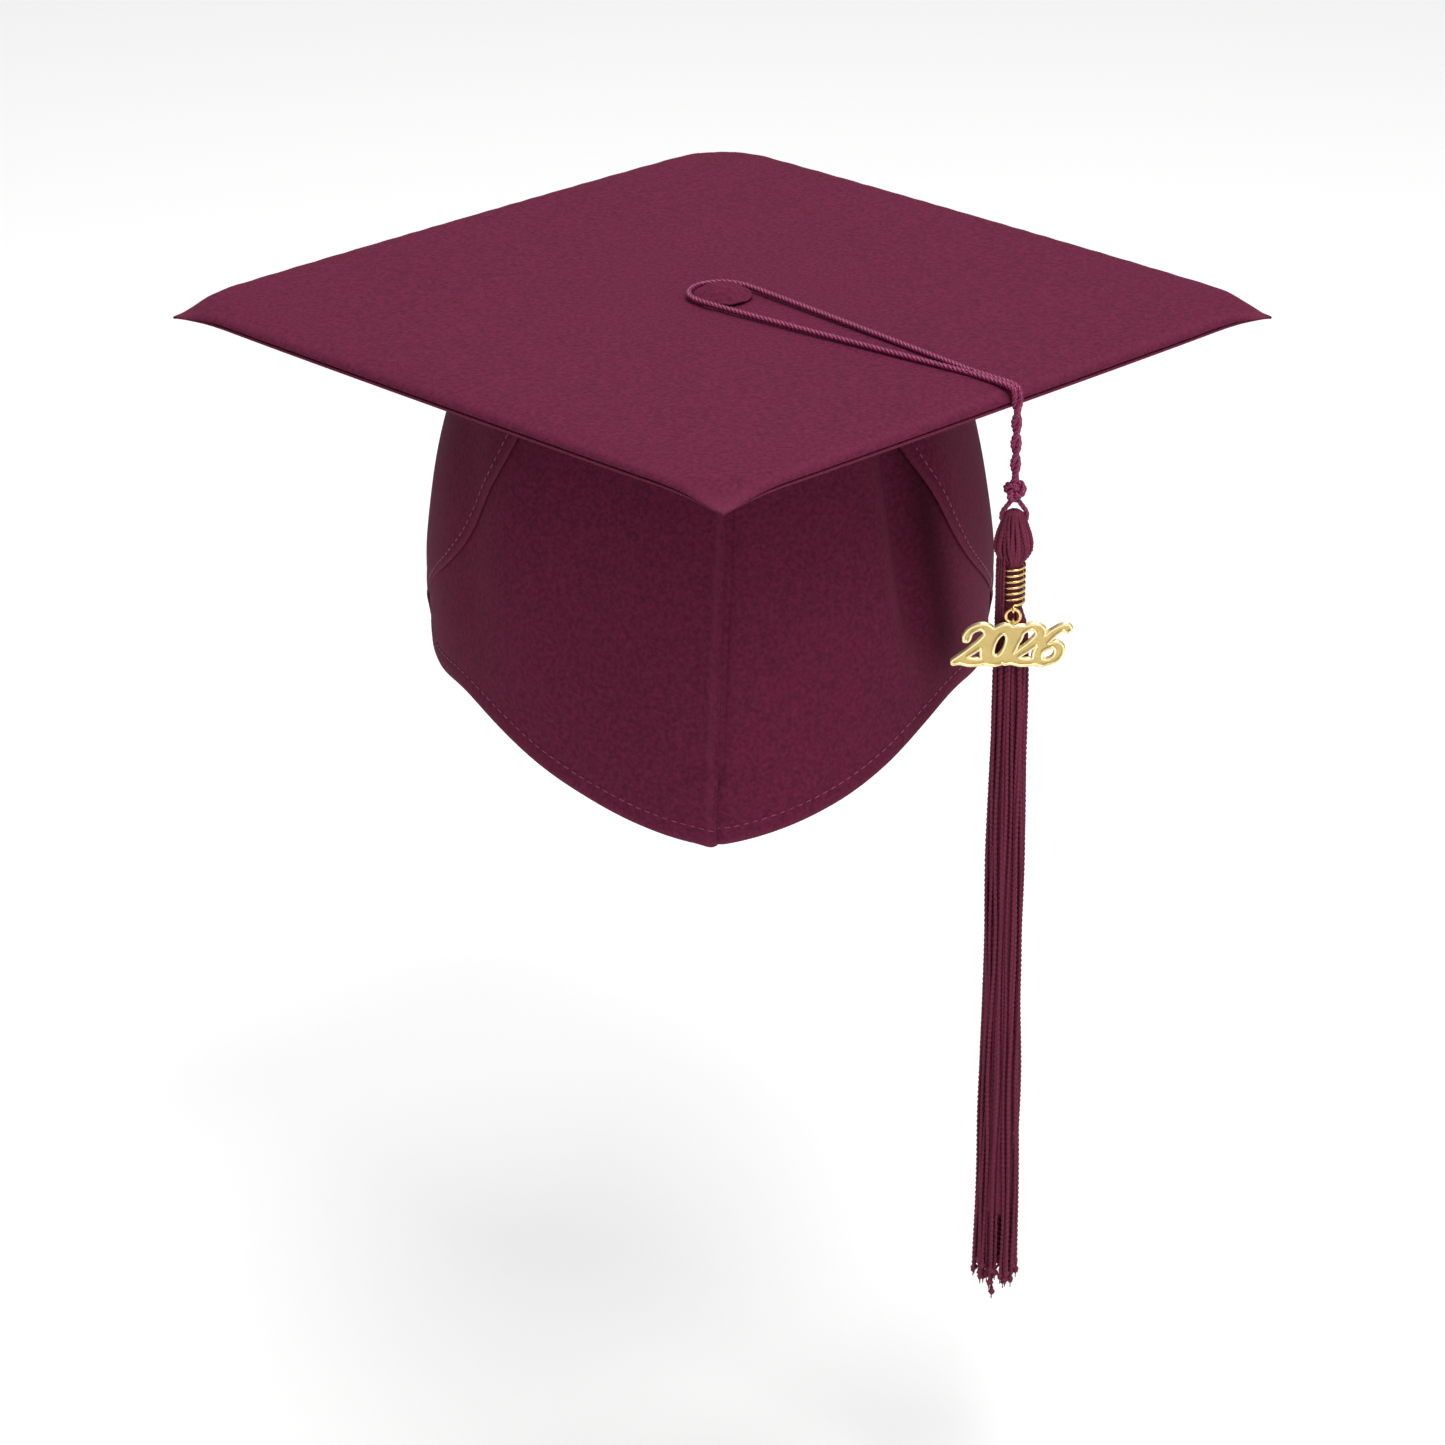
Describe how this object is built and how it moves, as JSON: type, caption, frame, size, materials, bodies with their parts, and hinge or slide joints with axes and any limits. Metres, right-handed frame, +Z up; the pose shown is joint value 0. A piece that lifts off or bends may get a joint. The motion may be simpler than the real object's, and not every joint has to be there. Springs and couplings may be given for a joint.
{
  "type": "graduation cap",
  "caption": "Graduation cap: a cloth-covered square board on a skullcap with a pointed front, a covered button, a looped cord and a tassel with a wire coil and year charm.",
  "frame": {"origin": "centre of the head opening, in the plane of the back hem, straight below the button", "axes": "+Z up through the button, square to the board; -Y to the front, where one corner of the board and the skullcap's point are; +X to the wearer's left"},
  "size_m": [0.3412, 0.3412, 0.3042],
  "materials": {
    "cap_cloth": "matte maroon twill-weave polyester",
    "wadding": "thin white polyester wadding",
    "insert_card": "pressed grey-brown card",
    "interfacing": "stiff bonded interfacing",
    "seam_tape": "woven seam tape",
    "elastic": "white braided elastic",
    "tassel_rayon": "glossy twisted maroon rayon",
    "gold_metal": "bright gold plating",
    "tinned_steel": "tinned"
  },
  "bodies": {
    "cap": {"insert_board": "insert_card", "board_padding": "wadding", "top_cover": "cap_cloth", "underside_cover": "cap_cloth", "edge_seam_allowance": "cap_cloth", "button_cover": "cap_cloth", "button_shell": "tinned_steel", "button_back_plate": "tinned_steel", "button_shank": "tinned_steel", "retaining_washer": "tinned_steel", "left_front_panel": "cap_cloth", "right_front_panel": "cap_cloth", "left_front_interfacing": "interfacing", "right_front_interfacing": "interfacing", "left_front_facing": "cap_cloth", "right_front_facing": "cap_cloth", "centre_seam_tape": "seam_tape", "back_panel": "cap_cloth"},
    "elastic_back": {"hem_casing": "cap_cloth", "elastic_band": "elastic"},
    "cord_loop": {"loop_cord": "tassel_rayon"},
    "hanging_cord": {"near_hanging_leg": "tassel_rayon", "far_hanging_leg": "tassel_rayon", "cord_knot": "tassel_rayon", "head_loop": "tassel_rayon"},
    "tassel": {"tassel_head": "tassel_rayon", "neck_binding": "tassel_rayon", "tassel_skirt": "tassel_rayon", "gold_coil": "gold_metal"},
    "ring": {"jump_ring": "gold_metal"},
    "charm": {"year_charm": "gold_metal"}
  },
  "joints": [
    {"name": "elastic_stretch", "type": "slide", "parent": "cap", "child": "elastic_back", "axis": [0, 1, 0], "range_m": [0, 0.012], "stiffness_N_per_m": 300},
    {"name": "loop_turn", "type": "hinge", "parent": "cap", "child": "cord_loop", "pos_m": [0, 0, 0.1112], "axis": [0, 0, 1], "range_deg": [-90, 90], "deforming": ["near_hanging_leg", "far_hanging_leg"]},
    {"name": "cord_lift", "type": "hinge", "parent": "cord_loop", "child": "hanging_cord", "pos_m": [0.08344, -0.08344, 0.1068], "axis": [-0.7071, -0.7071, 0], "range_deg": [0, 110], "deforming": ["near_hanging_leg", "far_hanging_leg"]},
    {"name": "tassel_swing", "type": "hinge", "parent": "hanging_cord", "child": "tassel", "pos_m": [0.08655, -0.08655, 0.07], "axis": [1, 0, 0], "range_deg": [-40, 15]},
    {"name": "ring_swing", "type": "hinge", "parent": "tassel", "child": "ring", "pos_m": [0.08655, -0.09285, 0.0433], "axis": [-1, 0, 0], "range_deg": [0, 75]},
    {"name": "charm_swing", "type": "hinge", "parent": "ring", "child": "charm", "pos_m": [0.08655, -0.09285, 0.04115], "axis": [0, 1, 0], "range_deg": [-35, 35]}
  ]
}
